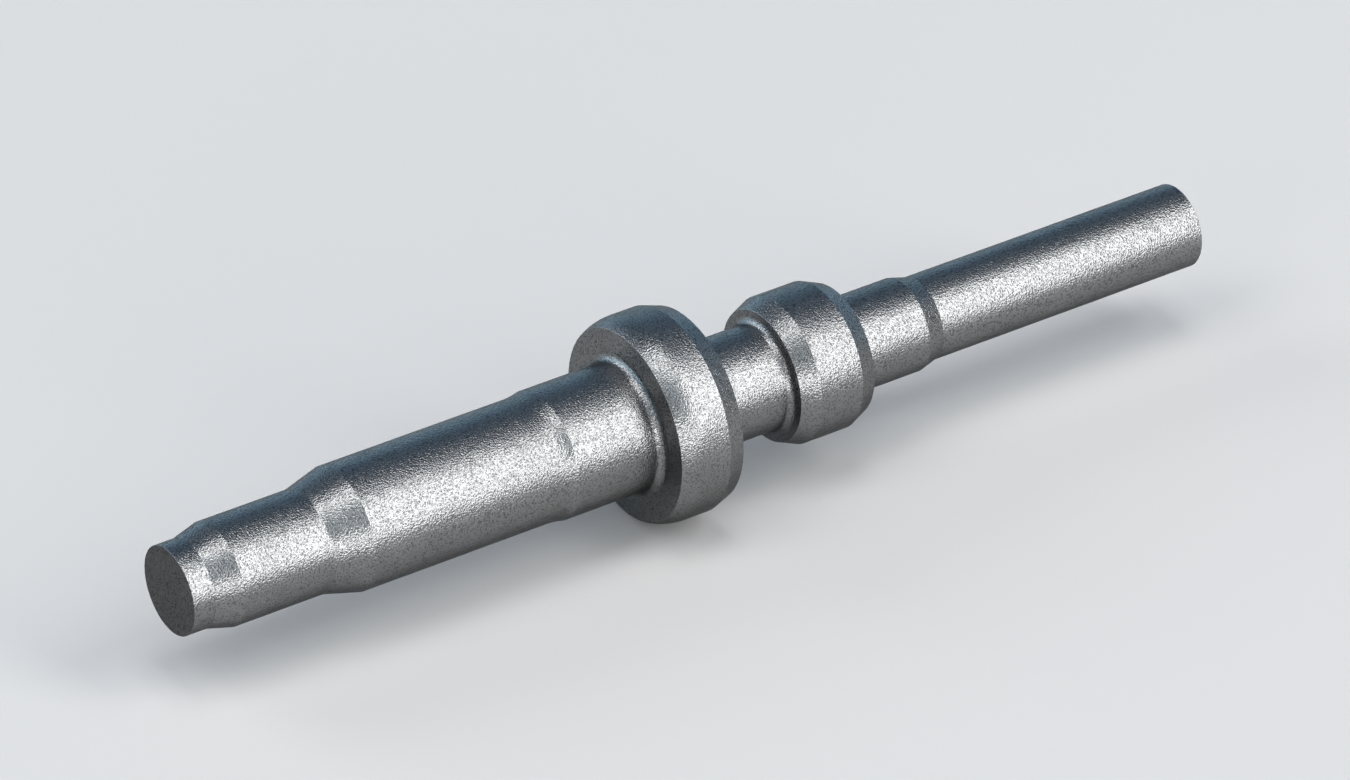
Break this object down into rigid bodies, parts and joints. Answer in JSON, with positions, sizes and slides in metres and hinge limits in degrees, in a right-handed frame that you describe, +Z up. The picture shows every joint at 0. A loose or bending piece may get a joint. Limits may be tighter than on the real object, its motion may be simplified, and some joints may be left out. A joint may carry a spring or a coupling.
{
  "type": "input shaft",
  "caption": "Solid forged steel gearbox input shaft blank with journals, a gear seat, a rounded flange, a chamfered collar and a long plain stem.",
  "frame": {"origin": "on the shaft's axis, in the middle of the near journal", "axes": "+X runs along the shaft's axis towards the far end with the stem; +Z is up, with the axis level as it is in its bearings"},
  "size_m": [0.334, 0.0598, 0.06],
  "materials": {
    "forged_steel": "shot-blasted raw forging"
  },
  "bodies": {
    "root": {"input_shaft": "forged_steel"}
  },
  "joints": []
}
